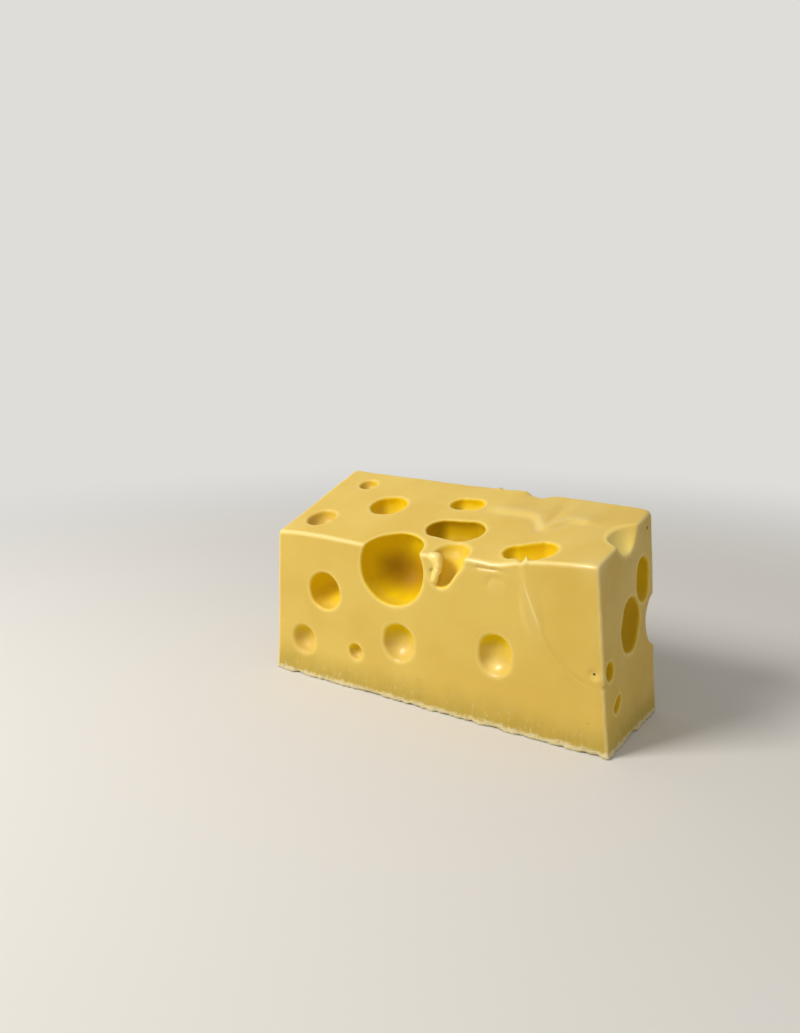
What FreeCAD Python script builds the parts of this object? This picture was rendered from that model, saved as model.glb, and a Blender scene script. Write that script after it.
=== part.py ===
# A block cut from a wheel of emmental, standing on its rind.
#
# Frame: millimetres, +Z up, origin on the table under the middle of the block.
# +X runs along the length to the right end, +Y to the back.
#
# A block is lofted through upright cross-sections, a knife trims both ends to a lean
# and the foot flat, the edges are rounded, and the gas eyes that the cuts have
# opened are bubbles taken out of it. All of it is one solid.

import FreeCAD, Part
import os
from math import ceil
import Sketcher

Vector = FreeCAD.Vector

NODE = "cheese_block"

doc = FreeCAD.newDocument("emmental")
sheet = doc.addObject("Spreadsheet::Sheet", "sizes")

# ---------------------------------------------------------------- driving sizes

PLAIN_SIZES = {
    "length": 255,        # along the rind, from end to end
    "depth": 83,          # front to back at the rind
    "height": 131.5,      # back edge of the top, at the right end
    "back_flare": 7.5,    # how far the back stands out at the top
    "right_lean": 5.4,    # degrees that the right end leans in
    "left_lean": 2.5,     # and the left end
    "edge_round": 2.5,    # radius of the soft edges
    "knife_reach": 400,   # how high the cuts that trim the ends go
    "foot_spare": 3,      # what the flat cut takes off under the foot
}

# The cross-sections, from the right end to the left: how far each stands from the
# right end, how far the top's back edge has risen there above height, and how far
# the front edge lies below the back one. The last one stands at the left end.
SECTION_SIZES = ("from_right", "rise", "drop")
SECTIONS = {
    "section_a": (0, 0, 17),
    "section_b": (56, 1.5, 22),
    "section_c": (103, 2.5, 28),
    "section_d": (155, 3, 30.5),
    "section_e": (None, 4.5, 33),
}

# Each eye opens in one face. "along" is its distance from the end named with it,
# "across" is measured back from the front edge, "up" is the height over the rind,
# and "sunk" is how far its middle lies behind the face, or before it if negative.
# The last number is the radius.
EYE_SIZES = {
    "front": ("along", "sunk", "up", "radius"),
    "back": ("along", "sunk", "up", "radius"),
    "top": ("along", "across", "sunk", "radius"),
    "end": ("sunk", "across", "up", "radius"),
}
EYES = {
    "dish_low": ("front", "right", (75.9, -3, 47.8, 10.7)),
    "dish_far": ("front", "right", (147.6, -2.5, 41, 11.5)),
    "hollow": ("front", "right", (153, 5, 90.5, 24.3)),
    "golden": ("front", "right", (112, 4.8, 97.3, 9.4)),
    "golden_mouth": ("top", "right", (111.5, 5, -1, 11.3)),
    "left_big": ("front", "left", (46, 3, 66, 12.6)),
    "left_low": ("front", "left", (26, -2, 27, 9.5)),
    "left_small": ("front", "left", (72, 0.5, 27, 4.5)),
    "cave": ("top", "right", (124.5, 33.5, 6, 13)),
    "cave_small": ("top", "right", (133, 64.5, 2.5, 7)),
    "lens": ("top", "right", (60, 14.8, 3, 11.4)),
    "back_nick": ("top", "right", (91, 89.5, -1.5, 5)),
    "left_top": ("top", "left", (66, 50, 3, 11.5)),
    "left_rim": ("top", "left", (27, 22, 1, 9.5)),
    "left_back": ("top", "left", (32, 72, 1, 6)),
    "notch": ("end", "right", (-7.5, 45, 131.5, 20.5)),
    "upper": ("end", "right", (1, 68.5, 91, 9.2)),
    "middle": ("end", "right", (3, 45.2, 68, 13.6)),
    "little": ("end", "right", (0.8, 9.8, 49.8, 4.8)),
    "slot": ("end", "right", (0.3, 19.6, 27, 2.2)),
    "bite": ("end", "right", (5, 88.5, 60.5, 16.5)),
    "tall": ("end", "left", (3, 27, 84, 11)),
    "high": ("end", "left", (1, 61, 108, 8.5)),
    "round": ("end", "left", (-2, 56, 49, 12)),
    "tiny": ("end", "left", (1, 22, 33, 4.6)),
    "back_high": ("back", "right", (50, 1, 93, 11.5)),
    "back_wide": ("back", "right", (103, 3, 52, 11.5)),
    "back_dish": ("back", "right", (155, -4, 98, 12.6)),
    "back_big": ("back", "left", (46, 4, 64, 12.6)),
    "back_low": ("back", "left", (86, 1, 28, 7)),
    "back_bit": ("back", "right", (40, 1, 38, 5)),
}

# A long eye is a row of bubbles that have met: how far the last lies from the first,
# along X, Y and Z.
REACH_SIZES = ("reach_x", "reach_y", "reach_z")
LONG_EYES = {
    "dish_low": (0, 0, 5),
    "dish_far": (0, 0, 1.5),
    "golden": (8, 2, 11),
    "cave": (18.5, 0, 0),
    "cave_small": (9, 1, 0),
    "lens": (9, 1, 0),
    "left_top": (2, 1, 0),
    "upper": (0, 2, 8),
    "middle": (0, 3, 5),
    "slot": (0, 4.5, 3),
    "tall": (0, 0, 3),
    "back_high": (2, 0, 0),
    "back_wide": (2, 0, 1),
}
CLOSEST_ROW = 0.45    # bubbles in a row stand this share of their radius apart, at most


def fill_sheet(values):
    """Writes one named number to a row."""
    for row, (alias, value) in enumerate(values.items(), start=1):
        sheet.set(f"A{row}", alias)
        sheet.set(f"B{row}", str(value))
        sheet.setAlias(f"B{row}", alias)


def named(prefix, names, values):
    """Gives each value the name of its piece and its kind, such as notch_up."""
    return {f"{prefix}_{n}": v for n, v in zip(names, values) if v is not None}


all_sizes = dict(PLAIN_SIZES)
for name, values in SECTIONS.items():
    all_sizes.update(named(name, SECTION_SIZES, values))
for name, (face, _, values) in EYES.items():
    all_sizes.update(named(name, EYE_SIZES[face], values))
for name, values in LONG_EYES.items():
    all_sizes.update(named(name, REACH_SIZES, values))
fill_sheet(all_sizes)
doc.recompute()

# ------------------------------------------------------- places, as expressions

END_X = {"right": "sizes.length / 2", "left": "-sizes.length / 2"}
INWARD = {"right": "-", "left": "+"}
FRONT_Y = "-(sizes.depth + sizes.back_flare) / 2"
BACK_Y = f"{FRONT_Y} + sizes.depth"
FOOT_Z = "-sizes.foot_spare"


def inward(end, distance):
    """X of a place that lies a distance in from one end of the rind."""
    return f"{END_X[end]} {INWARD[end]} ({distance})"


def back_y(up):
    """Y of the flaring back face at a height."""
    return f"{BACK_Y} + sizes.back_flare * ({up}) / sizes.height"


def top_z(section, across):
    """Height of the falling top face at a section, a distance back from the front."""
    low = f"sizes.height + sizes.{section}_rise - sizes.{section}_drop"
    return f"{low} + sizes.{section}_drop * ({across}) / (sizes.depth + sizes.back_flare)"


# ------------------------------------------------------------------- plain block

def attach(sketch, body, role):
    """Lays a sketch on one of its body's origin planes."""
    plane = next(o for o in body.Origin.OriginFeatures if o.Role == role)
    sketch.AttachmentSupport = (plane, [""])
    sketch.MapMode = "FlatFace"


def outline(sketch, corners):
    """Draws a closed outline whose corners are tied to the sheet by expressions."""
    starts = [Vector(*map(sketch.evalExpression, corner)) for corner in corners]
    count = len(corners)
    for number, start in enumerate(starts):
        sketch.addGeometry(Part.LineSegment(start, starts[(number + 1) % count]))
    for number in range(count):
        following = (number + 1) % count
        sketch.addConstraint(Sketcher.Constraint("Coincident", number, 2, following, 1))
    for number, corner in enumerate(corners):
        for kind, expression, start in zip(("DistanceX", "DistanceY"), corner, starts[number]):
            tie = Sketcher.Constraint(kind, -1, 1, number, 1, start)
            sketch.setExpression(f"Constraints[{sketch.addConstraint(tie)}]", expression)


def cross_section(body, name, place_x):
    """One upright section: the rind, the flaring back and the falling top."""
    sketch = body.newObject("Sketcher::SketchObject", name)
    attach(sketch, body, "YZ_Plane")
    sketch.setExpression("AttachmentOffset.Base.z", place_x)
    across_top = "sizes.depth + sizes.back_flare"
    outline(sketch, [
        (FRONT_Y, FOOT_Z),
        (back_y(FOOT_Z), FOOT_Z),
        (f"{FRONT_Y} + {across_top}", top_z(name, across_top)),
        (FRONT_Y, top_z(name, "0")),
    ])
    return sketch


def section_x(name):
    """The last section stands at the left end, the others are paced off from the right."""
    if SECTIONS[name][0] is None:
        return END_X["left"]
    return inward("right", f"sizes.{name}_from_right")


def end_wedge(end):
    """What the knife takes off one end: all that lies past the leaning cut."""
    foot = inward(end, f"{FOOT_Z} * tan(sizes.{end}_lean)")
    top = inward(end, f"sizes.knife_reach * tan(sizes.{end}_lean)")
    far = f"2 * {END_X[end]}"
    return [(foot, FOOT_Z), (far, FOOT_Z), (far, "sizes.knife_reach"), (top, "sizes.knife_reach")]


def foot_slab():
    """The slab under the rind, which is cut away to stand the block flat."""
    near, far = "-sizes.length", "sizes.length"
    return [(near, f"2 * {FOOT_Z}"), (far, f"2 * {FOOT_Z}"), (far, "0"), (near, "0")]


def trim(body, name, corners):
    """Cuts an outline right through the block, from front to back."""
    before = body.Shape.Volume
    sketch = body.newObject("Sketcher::SketchObject", f"{name}_knife")
    attach(sketch, body, "XZ_Plane")
    outline(sketch, corners)
    cut = body.newObject("PartDesign::Pocket", f"{name}_trim")
    cut.Profile = sketch
    cut.Type = "ThroughAll"
    cut.Midplane = True
    doc.recompute()
    if body.Shape.Volume >= before:
        raise SystemExit(f"the {name} was not trimmed")


def plain_block():
    """The block as the knife leaves it, with its edges softened, before its eyes."""
    body = doc.addObject("PartDesign::Body", "block")
    sections = [cross_section(body, name, section_x(name)) for name in SECTIONS]
    loft = body.newObject("PartDesign::AdditiveLoft", "long_faces")
    loft.Profile = sections[0]
    loft.Sections = sections[1:]
    doc.recompute()
    for end in END_X:
        trim(body, end, end_wedge(end))
    trim(body, "foot", foot_slab())
    softened = body.newObject("PartDesign::Fillet", "softened")
    trimmed = body.Tip.BaseFeature
    edges = [f"Edge{n}" for n, _ in enumerate(trimmed.Shape.Edges, start=1)]
    softened.Base = (trimmed, edges)
    softened.setExpression("Radius", "sizes.edge_round")
    return body


# -------------------------------------------------------------------------- eyes

# The way into the cheese from each face, which each bubble's seam is turned to.
INTO = {
    "front": Vector(0, 1, 0),
    "back": Vector(0, -1, 0),
    "top": Vector(0, 0, -1),
    "right": Vector(-1, 0, 0),
    "left": Vector(1, 0, 0),
}


def nearest_section(name):
    """The cross-section that stands closest to an eye in the top."""
    _, end, values = EYES[name]
    length = PLAIN_SIZES["length"]
    along = values[0] if end == "right" else length - values[0]
    paced = {s: length if v[0] is None else v[0] for s, v in SECTIONS.items()}
    return min(paced, key=lambda section: abs(paced[section] - along))


def eye_middle(name):
    """The middle of an eye, as three expressions."""
    face, end, _ = EYES[name]
    cell = {key: f"sizes.{name}_{key}" for key in EYE_SIZES[face]}
    across_y = f"{FRONT_Y} + {cell.get('across')}"
    if face == "end":
        lean = f"{cell['up']} * tan(sizes.{end}_lean) + {cell['sunk']}"
        return inward(end, lean), across_y, cell["up"]
    along_x = inward(end, cell["along"])
    if face == "top":
        face_z = top_z(nearest_section(name), cell["across"])
        return along_x, across_y, f"{face_z} - {cell['sunk']}"
    if face == "front":
        return along_x, f"{FRONT_Y} + {cell['sunk']}", cell["up"]
    return along_x, f"{back_y(cell['up'])} - {cell['sunk']}", cell["up"]


def bubble_count(name):
    """How many bubbles it takes to fill a long eye without a waist."""
    reach = Vector(*LONG_EYES.get(name, (0, 0, 0))).Length
    radius = EYES[name][2][-1]
    return 1 + ceil(reach / (CLOSEST_ROW * radius))


def gas_eye(name):
    """One eye: a bubble, or a row of them, that follows the sheet."""
    face, end, _ = EYES[name]
    turned = FreeCAD.Rotation(Vector(1, 0, 0), INTO[end if face == "end" else face])
    count = bubble_count(name)
    bubbles = []
    for number in range(count):
        bubble = doc.addObject("Part::Sphere", f"eye_{name}_{number}")
        bubble.Placement = FreeCAD.Placement(Vector(), turned)
        bubble.setExpression("Radius", f"sizes.{name}_radius")
        for axis, middle in zip("xyz", eye_middle(name)):
            if count > 1:
                share = number / (count - 1) - 0.5
                middle = f"{middle} + {share:.4f} * sizes.{name}_reach_{axis}"
            bubble.setExpression(f"Placement.Base.{axis}", middle)
        bubbles.append(bubble)
    return bubbles


block = plain_block()
eyes = doc.addObject("Part::MultiFuse", "all_eyes")
eyes.Shapes = [bubble for name in EYES for bubble in gas_eye(name)]
cheese = doc.addObject("Part::Cut", "cheese")
cheese.Label = NODE
cheese.Base = block
cheese.Tool = eyes
cheese.Placement = FreeCAD.Placement()
doc.recompute()

# --------------------------------------------------------------- check and write

MEASURING_STEP = 0.2    # how closely the points that are measured follow the curved faces

for item in doc.Objects:
    if {"Invalid", "Error"} & set(item.State):
        raise SystemExit(f"{item.Label} failed: {item.State}")
shape = cheese.Shape
if shape.isNull() or not shape.isValid() or len(shape.Solids) != 1:
    raise SystemExit(f"{NODE} is not one valid solid")

os.makedirs("parts", exist_ok=True)
shape.exportStep(f"parts/{NODE}.step")
box = FreeCAD.BoundBox()
for point in shape.tessellate(MEASURING_STEP)[0]:
    box.add(point)
print(f"{NODE}: {box.XLength:.1f} x {box.YLength:.1f} x {box.ZLength:.1f} mm, "
      f"{shape.Volume / 1000:.0f} cm3, {len(EYES)} eyes")
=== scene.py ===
# %% [markdown]
# # A block of emmental
#
# This lesson models one tall block cut from a wheel of emmental. The packed CAD block
# gives its place and its size, and everything here is worked out around it. Cheese is
# cut by a knife and blown up by gas, so its faces are nearly flat and all its hollows
# are round, and nothing on it has a hard edge.

# %% Load the CAD frame
import itertools
import math
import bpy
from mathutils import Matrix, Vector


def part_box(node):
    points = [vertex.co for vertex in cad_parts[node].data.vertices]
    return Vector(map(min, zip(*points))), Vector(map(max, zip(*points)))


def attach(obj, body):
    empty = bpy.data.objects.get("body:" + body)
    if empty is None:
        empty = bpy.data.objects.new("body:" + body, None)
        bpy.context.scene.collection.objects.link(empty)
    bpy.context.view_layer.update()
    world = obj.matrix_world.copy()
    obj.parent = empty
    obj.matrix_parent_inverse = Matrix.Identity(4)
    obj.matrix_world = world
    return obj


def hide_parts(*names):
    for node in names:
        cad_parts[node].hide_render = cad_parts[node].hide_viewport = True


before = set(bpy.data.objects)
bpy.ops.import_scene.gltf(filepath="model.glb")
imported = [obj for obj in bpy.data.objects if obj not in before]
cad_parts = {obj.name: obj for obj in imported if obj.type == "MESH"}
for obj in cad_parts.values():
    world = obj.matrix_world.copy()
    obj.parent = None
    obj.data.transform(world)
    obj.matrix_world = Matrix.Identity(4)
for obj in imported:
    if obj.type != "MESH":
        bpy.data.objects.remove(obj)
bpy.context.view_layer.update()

from types import SimpleNamespace

import bpy
import numpy as np
from mathutils import Vector

MM = 0.001
low_corner, high_corner = (np.array(corner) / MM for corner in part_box("cheese_block"))
print("CAD block from", low_corner.round(1), "to", high_corner.round(1), "mm")

# %% [markdown]
# The easiest way to say where something is on a block is from one of its corners. All
# the shapes below are measured in millimetres from the bottom corner where the front
# meets the right end: *along* the block to the left, *across* it to the back, and *up*.

# %% The block's own measures
LENGTH = 255.0           # at the rind
DEPTH = 83.0
HEIGHT = 131.5           # back edge of the top at the right end
BACK_FLARE = 7.5         # the back stands out by this much at the top
FRONT_Y = -(DEPTH + BACK_FLARE) / 2
RIGHT_LEAN = math.tan(math.radians(5.4))
LEFT_LEAN = math.tan(math.radians(2.5))

# Knife cuts from right to left: where each is, and how high the front and back edges
# of the top are there.
CUT_ALONG = np.array([0.0, 56.0, 103.0, 155.0, LENGTH])
CUT_BACK = HEIGHT + np.array([0.0, 1.5, 2.5, 3.0, 4.5])
CUT_FRONT = CUT_BACK - np.array([17.0, 22.0, 28.0, 30.5, 33.0])


def measures(points):
    """Turns points of the frame, in millimetres, into along, across and up."""
    return LENGTH / 2 - points[:, 0], points[:, 1] - FRONT_Y, points[:, 2]


def frame_points(along, across, up):
    """The way back, from along, across and up to points of the frame."""
    return np.stack([LENGTH / 2 - along, across + FRONT_Y, up + 0 * along], axis=-1)


front_curve = np.polyfit(CUT_ALONG, CUT_FRONT, 4)
back_curve = np.polyfit(CUT_ALONG, CUT_BACK, 4)


def top_height(along, across):
    """Height of the falling top: a straight line from its front edge to its back edge."""
    front = np.polyval(front_curve, along)
    back = np.polyval(back_curve, along)
    return front + (back - front) * across / (DEPTH + BACK_FLARE)


def back_across(up):
    """How far back the flaring back face is at a height."""
    return DEPTH + BACK_FLARE * up / HEIGHT


print("top at its right front corner:", round(float(top_height(0.0, 0.0)), 1), "mm up")

# %% [markdown]
# A real cut face is never quite flat: it swells and dips softly. Blender's own noise is
# called one point at a time, which is slow for a million points, so this is a small
# noise for whole arrays: random numbers on a lattice, blended smoothly in between.

# %% Soft noise
LATTICE = 32
TWIST = np.array([[0.80, 0.36, -0.48], [-0.60, 0.48, -0.64], [0.00, 0.80, 0.60]])


def soft_noise(points, size, seed):
    """Smooth noise between -1 and 1, in lumps about as large as size."""
    table = np.random.default_rng(seed).uniform(-1, 1, (LATTICE,) * 3)
    turned = points @ TWIST / size
    cell = np.floor(turned).astype(int)
    part = turned - cell
    part = part * part * (3 - 2 * part)
    total = np.zeros(len(points))
    for corner in itertools.product((0, 1), repeat=3):
        weight = np.prod(np.where(corner, part, 1 - part), axis=1)
        total += weight * table[tuple(((cell + corner) % LATTICE).T)]
    return total


sample = soft_noise(np.random.default_rng(1).uniform(0, 200, (1000, 3)), 10, 2)
print("noise spread:", sample.std().round(2))

# %% [markdown]
# The block is described by a *field*: a function that says how far a point is from the
# surface, less than nothing inside. Fields are easy to combine. The larger of two is
# what both share, and the larger of one and the other turned inside out is a cut. A
# mesh boolean would leave razor edges, whereas a field can blend the two over a few
# millimetres, which is just how cheese looks where a knife has passed an eye.

# %% Joining and cutting fields softly
def soft_larger(first, second, soft):
    """The larger of two fields, blended where they are closer together than soft."""
    blend = np.clip(1 - np.abs(first - second) / soft, 0, 1)
    return np.maximum(first, second) + blend * blend * soft / 4


def soft_smaller(first, second, soft):
    """The smaller of two fields, blended in the same way."""
    return -soft_larger(-first, -second, soft)


def step_up(value, start, end):
    """0 before start, 1 after end, and an even S between them."""
    share = np.clip((value - start) / (end - start), 0, 1)
    return share * share * (3 - 2 * share)


def bump_at(distance, width):
    """A soft round bump: 1 in the middle, gone at about two widths away."""
    return np.exp(-(distance / width) ** 2)


def rod(place, start, end, radius):
    """Distance from a round rod between two places: a ball if they are the same.

    Two radii make it taper from the first at its start to the second at its end.
    """
    first, last = radius if isinstance(radius, tuple) else (radius, radius)
    start, end = np.array(start, float), np.array(end, float)
    way = end - start
    from_start = np.stack(place, axis=-1) - start
    share = np.clip(from_start @ way / max(way @ way, 1e-9), 0, 1)
    apart = np.linalg.norm(from_start - share[:, None] * way, axis=1)
    return apart - first - (last - first) * share


print("a blend of two equal fields lifts by", soft_larger(np.zeros(1), np.zeros(1), 4.0)[0])

# %% [markdown]
# The block has six faces: the rind below, a straight front, a back that flares out, a
# top that falls to the front, and two ends that lean in. Each is one nearly flat field,
# and the block is what all six share. The edges of a soft cheese are rounded unevenly,
# so the blend itself grows and shrinks along them. Just above the rind the soft paste
# has settled outwards a little, which is a flare added to the front and the right end.

# %% The block that the knife left
EDGE_SOFT = 2.3          # blend at the edges, about a 2 mm radius
EDGE_UNEVEN = 0.7
FOOT_SOFT = 1.6          # blend at the edges of the rind
SAG_ALONG = 76.0         # where the top's front edge has been dragged down
SAG_WIDTH, SAG_REACH = 13.0, 6.5
SAG_DEPTH = 2.4
CORNER_SOFT = 4.2        # more blend at the right back corner of the top
CORNER_ACROSS, CORNER_WIDTH = 89.0, 15.0
FOOT_FLARE = 1.3         # the soft paste has settled outwards just above the rind
FLARE_TOP = 26.0


def knife_faces(along, across, up):
    """Distance in front of the front, the two ends, the back and the top."""
    falling = (CUT_BACK[2] - CUT_FRONT[2]) / DEPTH
    sag = SAG_DEPTH * bump_at(along - SAG_ALONG, SAG_WIDTH) * bump_at(across, SAG_REACH)
    flare = FOOT_FLARE * (1 - step_up(up, 0, FLARE_TOP))
    bowed = 0.4 + 0.6 * np.clip(along * (LENGTH - along), 0, None) * 4 / LENGTH ** 2
    return [
        -across - flare * bowed,
        up * RIGHT_LEAN - along - flare * 0.5,
        along + up * LEFT_LEAN - LENGTH,
        across - back_across(up),
        (up - top_height(along, across) + sag) / math.hypot(1, falling),
    ]


def plain_block(points):
    """Distance from the cut block, before its eyes."""
    along, across, up = measures(points)
    edge = EDGE_SOFT + EDGE_UNEVEN * np.sin(along / 19) * np.cos(up / 23 + across / 17)
    from_corner = np.hypot(along, across - CORNER_ACROSS)
    edge = edge + CORNER_SOFT * bump_at(from_corner, CORNER_WIDTH) * step_up(up, 95, 125)
    block, *others = knife_faces(along, across, up)
    for face in others:
        block = soft_larger(block, face, edge)
    return soft_larger(block, -up, FOOT_SOFT)


MIDDLE = np.array([[0.0, 0.0, 60.0]])
print("the middle lies", -plain_block(MIDDLE).round(1)[0], "mm inside the block")

# %% [markdown]
# Gas makes round eyes while the cheese ripens, and the knife opens them. An eye cut
# through its middle is a deep bowl with a thin rim. One that is only just touched is a
# shallow dish with a soft rim. Two bubbles that met make a long eye. So each eye is a
# rod or a ball, placed from the face that it opens in, with its own softness of rim and
# its own level of painted bounce light: 0 is bare paste, 1 is golden, and more than 1
# is darker, with painted shade.

# %% The gas eyes
# Each eye has the face that it opens in, the end that it is measured from, and its place
# as along, across and up, where the measure into its face counts from that face. Then
# come its radius (or one at each end), its reach, the softness of its rim, and its level
# of painted bounce light and shade.
EYES = {
    "dish_low": ("front", "right", (75.9, -3, 47.8), 10.7, (0, 0, 5), 1.9, 0.6),
    "dish_far": ("front", "right", (147.6, -2.5, 41), 11.5, (0, 0, 1.5), 2.2, 0.6),
    "hollow": ("front", "right", (153, 5, 90.5), 24.3, (0, 0, 0), 1.6, 1.1),
    "golden": ("front", "right", (112, 4.8, 97.3), (7.8, 8.8), (8, 2, 11), 1.6, 1.0),
    "golden_mouth": ("top", "right", (111.5, 5, -1), 11.3, (0, 0, 0), 2.4, 0.8),
    "left_big": ("front", "left", (46, 3, 66), 12.6, (0, 0, 0), 1.8, 0.9),
    "left_low": ("front", "left", (26, -2, 27), 9.5, (0, 0, 0), 2.5, 0.4),
    "left_small": ("front", "left", (72, 0.5, 27), 4.5, (0, 0, 0), 1.2, 0.7),
    "cave": ("top", "right", (124.5, 33.5, 6), (10.8, 13), (18.5, 0, 0), 1.6, 1.5),
    "cave_small": ("top", "right", (133, 64.5, 2.5), 7, (9, 1, 0), 1.8, 0.9),
    "lens": ("top", "right", (62.5, 14.4, 3), (7.0, 11.4), (14, 2, 0), 1.0, 1.0),
    "back_nick": ("top", "right", (91, 89.5, -1.5), 5, (0, 0, 0), 2.5, 0.1),
    "left_top": ("top", "left", (66, 50, 3), 11.5, (2, 1, 0), 2.0, 0.9),
    "left_rim": ("top", "left", (27, 22, 1), 9.5, (0, 0, 0), 2.4, 0.6),
    "left_back": ("top", "left", (32, 72, 1), 6, (0, 0, 0), 1.5, 0.7),
    "notch": ("end", "right", (-7.5, 45, 131.5), 20.5, (0, 0, 0), 1.2, 0.0),
    "upper": ("end", "right", (1, 68.5, 91), 9.2, (0, 2, 8), 1.2, 1.3),
    "middle": ("end", "right", (3, 45.2, 68), 13.6, (0, 3, 5), 1.4, 1.4),
    "little": ("end", "right", (0.8, 9.8, 49.8), 4.8, (0, 0, 0), 1.0, 1.4),
    "slot": ("end", "right", (0.6, 19.6, 27), 2.2, (0, 4.5, 3), 0.8, 1.5),
    "bite": ("end", "right", (5, 88.5, 60.5), 16.5, (0, 0, 0), 1.5, 0.1),
    "tall": ("end", "left", (3, 27, 84), 11, (0, 0, 3), 1.6, 0.9),
    "high": ("end", "left", (1, 61, 108), 8.5, (0, 0, 0), 1.6, 0.8),
    "round": ("end", "left", (-2, 56, 49), 12, (0, 0, 0), 2.6, 0.4),
    "tiny": ("end", "left", (1, 22, 33), 4.6, (0, 0, 0), 1.2, 0.7),
    "back_high": ("back", "right", (50, 1, 93), 11.5, (2, 0, 0), 1.8, 0.8),
    "back_wide": ("back", "right", (103, 3, 52), 11.5, (2, 0, 1), 1.6, 0.9),
    "back_dish": ("back", "right", (155, -4, 98), 12.6, (0, 0, 0), 2.8, 0.4),
    "back_big": ("back", "left", (46, 4, 64), 12.6, (0, 0, 0), 1.6, 1.0),
    "back_low": ("back", "left", (86, 1, 28), 7, (0, 0, 0), 1.4, 0.7),
    "back_bit": ("back", "right", (40, 1, 38), 5, (0, 0, 0), 1.2, 0.6),
}


def eye_middle(face, end, place):
    """The middle of an eye as along, across and up."""
    first, second, third = place
    from_right = (lambda a: a) if end == "right" else (lambda a: LENGTH - a)
    if face == "front":
        return np.array([from_right(first), second, third])
    if face == "back":
        return np.array([from_right(first), back_across(third) - second, third])
    if face == "top":
        along = from_right(first)
        return np.array([along, second, top_height(along, second) - third])
    lean = RIGHT_LEAN if end == "right" else LEFT_LEAN
    return np.array([from_right(third * lean + first), second, third])


def eye_rods():
    """Each eye as the two ends of its rod, its radius, its softness and its level of painted
    bounce light and shade.
    """
    for face, end, place, radius, reach, soft, gold in EYES.values():
        middle = eye_middle(face, end, place)
        half = np.array(reach) / 2 * (-1, 1, 1)
        yield middle - half, middle + half, radius, soft, gold


rods = list(eye_rods())
print(len(rods), "eyes, the largest", 2 * max(np.max(r[2]) for r in rods), "mm across")

# %% [markdown]
# The blade drags soft cheese with it. Between the two open eyes on the front edge it
# has curled the thin wall over into a lip, and along the edge it has left a rolled
# flap. These are rods again, in chains, but melted on instead of cut out. At the end of
# the flap and on the back edge the paste was pulled up into small spikes.

# %% Lips and smears
# Stops of the chains, as along, across and up.
LIP_WALL = [(125.5, 5, 80), (124.8, 5, 90), (122.4, 5, 97), (120.6, 5, 101.5)]
LIP_ROLL = [(121.6, 2.6, 80), (121.0, 2.4, 88.5), (118.4, 2.3, 94.5), (117.6, 2.3, 98.5),
            (118.8, 2.4, 101.8), (121.2, 2.6, 103.2), (124.0, 3.2, 102.4)]
ROLL_RADIUS, ROLL_SOFT = 2.2, 2.0
LIP_SCOOP = [(122.4, -0.4, 99.2), (124.0, -0.9, 95.0), (126.0, -1.2, 89.0)]
FLAP = [(99.5, 2.4, 103.4), (92, 1.8, 103.4), (80, 1.4, 103.4), (72, 1.6, 104.0),
        (66, 2.2, 105.8), (61.0, 2.6, 108.2)]
SPIKE = [(57.4, 2.2, 108.5), (56.8, 2.8, 113.8)]
V_CUT = [(60.9, -3.0, 109.4), (61.2, 8.0, 112.8)]
BACK_SPIKE = [(120.4, 87.5, 131.0), (121.0, 88.2, 134.2)]


def chain(place, stops, radius, soft):
    """Rods through the stops, melted together."""
    links = [rod(place, a, b, radius) for a, b in zip(stops, stops[1:])]
    joined = links[0]
    for link in links[1:]:
        joined = soft_smaller(joined, link, soft)
    return joined


def curled_lip(place):
    """The wall between the two eyes, with the roll that the blade left on its edge."""
    scoop = chain(place, LIP_SCOOP, 2.4, 2.0)
    wall = soft_larger(chain(place, LIP_WALL, 4.4, 3.0), -scoop, 1.5)
    return soft_smaller(wall, chain(place, LIP_ROLL, ROLL_RADIUS, ROLL_SOFT), 1.2)


def add_smears(place, field):
    """Melts the curled lip, the flap and two small spikes on, and cuts a V by the flap."""
    field = soft_smaller(field, curled_lip(place), 1.6)
    field = soft_smaller(field, chain(place, FLAP, 1.6, 1.5), 1.2)
    field = soft_larger(field, -chain(place, V_CUT, 1.9, 1.0), 1.0)
    field = soft_smaller(field, chain(place, SPIKE, (2.3, 0.9), 1.0), 1.2)
    return soft_smaller(field, chain(place, BACK_SPIKE, 0.9, 1.0), 2.5)


print("the lip reaches", max(stop[2] for stop in LIP_ROLL), "mm up")

# %% [markdown]
# What is left is relief, which a hand would feel but a ruler would miss. It is a small
# number of millimetres taken off (or put on, where it is less than nothing), so it is
# simply added to the field. The longest mark is the crease, where the blade twisted. It
# starts level at the right corner and turns steeply upwards, and there the paste has
# swollen beside it. A line that rises with a power of the length has that shape.

# %% The crease
CREASE_FOOT = (5.0, 41.8)        # along and up, where the crease runs level
CREASE_RISE = 0.0028
CREASE_POWER = 2.5
CREASE_STEEP = (42, 50)          # along, where it turns from a fold into a ridge
CREASE_END = 58.0
FOLD_DEPTH, RIDGE_HEIGHT, SWELLING_HEIGHT = 0.26, 0.6, 0.75


def above_crease(along, up):
    """How far above the line of the crease a place on the front is."""
    run = np.clip(along - CREASE_FOOT[0], 0, None)
    line = CREASE_FOOT[1] + CREASE_RISE * run ** CREASE_POWER
    slope = CREASE_RISE * CREASE_POWER * run ** (CREASE_POWER - 1)
    return (up - line) / np.sqrt(1 + slope ** 2)


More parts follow.
